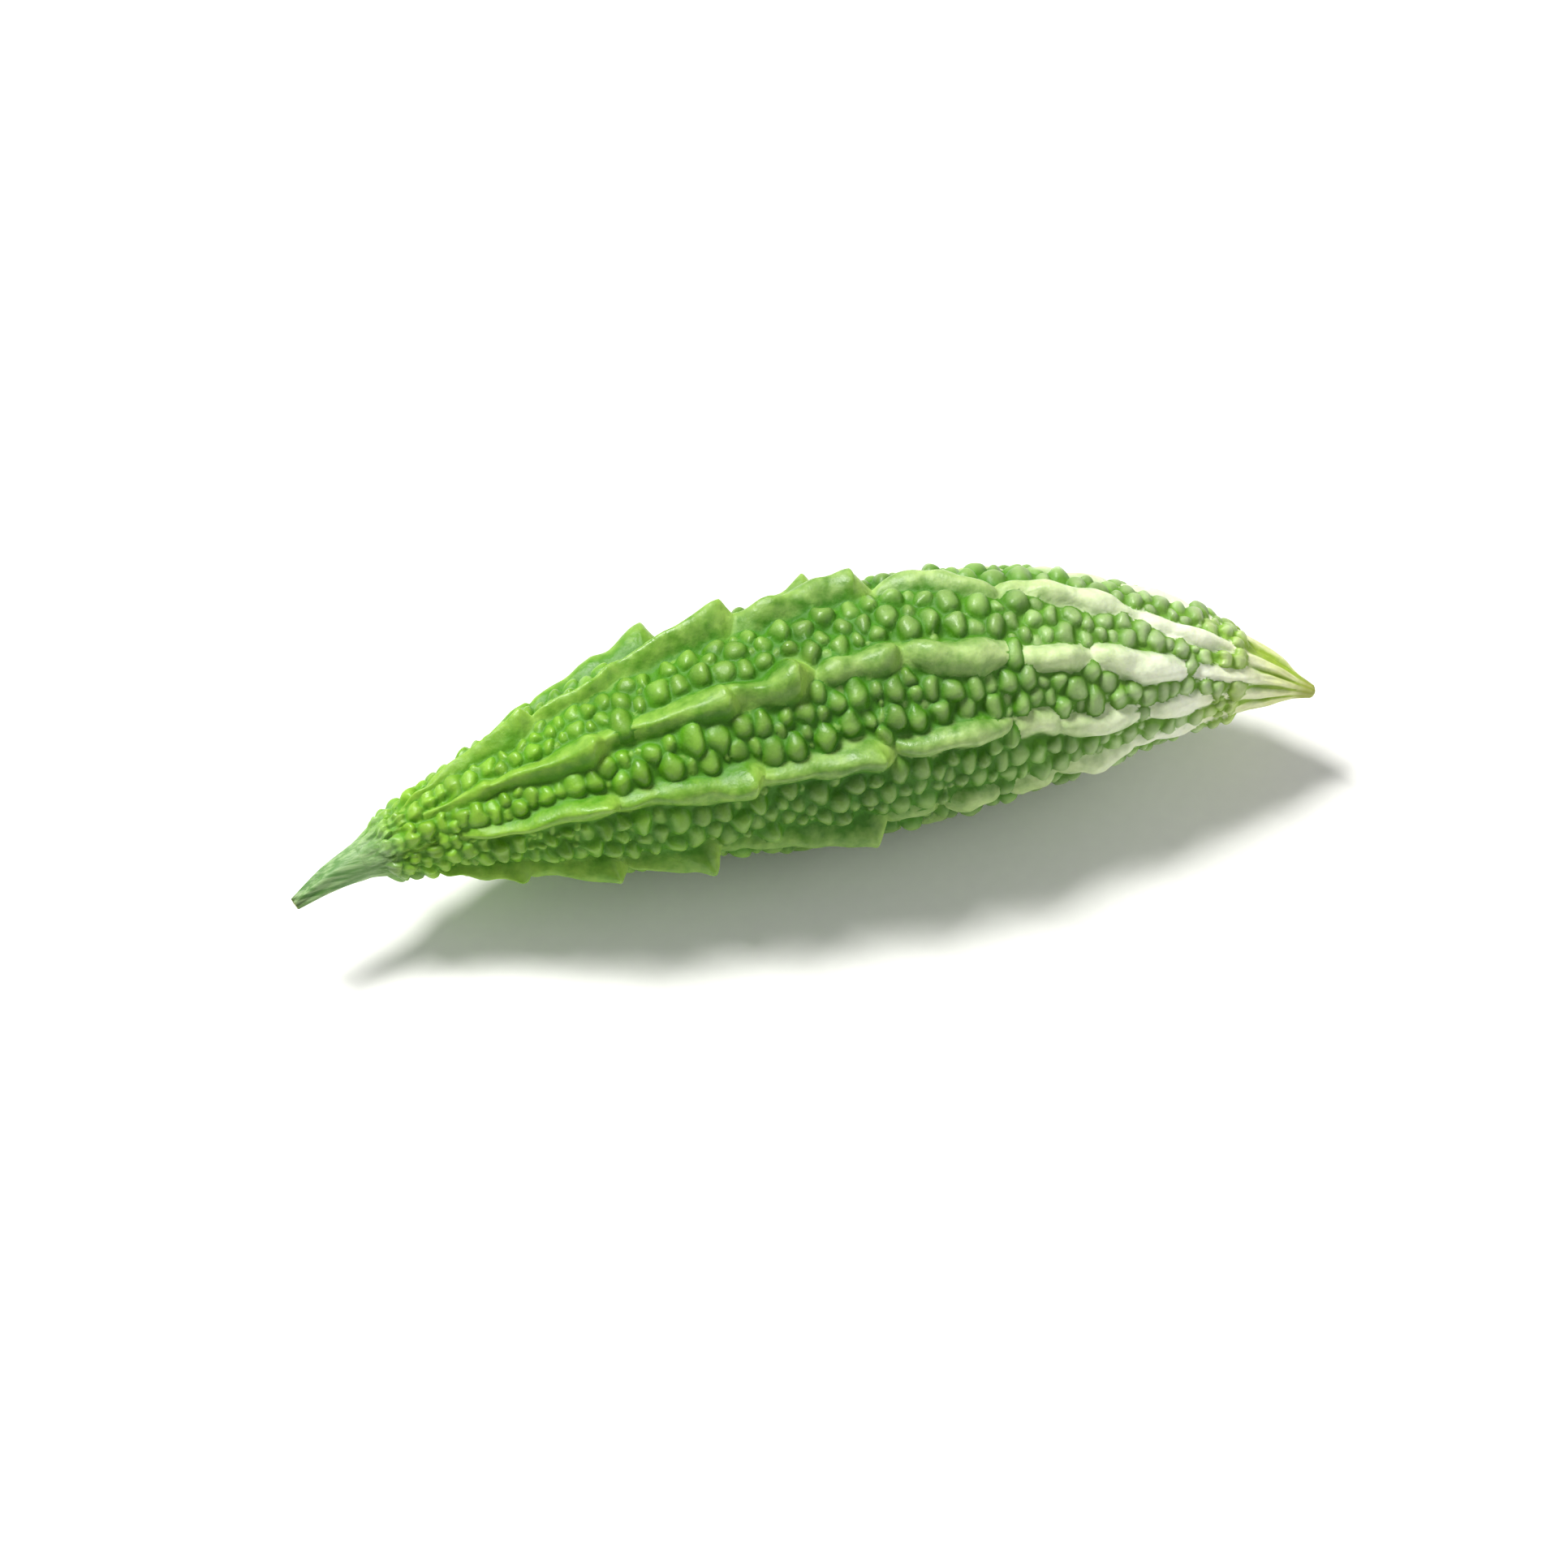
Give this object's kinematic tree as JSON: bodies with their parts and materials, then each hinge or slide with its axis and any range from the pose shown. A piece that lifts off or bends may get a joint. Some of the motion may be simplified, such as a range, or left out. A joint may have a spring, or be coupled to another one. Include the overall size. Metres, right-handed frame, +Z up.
{
  "type": "bitter gourd",
  "caption": "Whole fresh bitter gourd lying on its side: a bowed spindle with broken toothed ridges, warty furrows and a short cut stem.",
  "frame": {"origin": "bottom centre of the whole gourd, on the surface that it lies on", "axes": "+X along the fruit from the stem to the blossom end, +Z up, +Y to the back, where its ends bow to the front (-Y)"},
  "size_m": [0.1843, 0.05, 0.0487],
  "materials": {
    "skin": "waxy green plant skin, satin, pale on the ridges",
    "stalk": "dull green stalk, finely streaked"
  },
  "bodies": {
    "root": {"fruit": "skin", "stem": "stalk"}
  },
  "joints": []
}
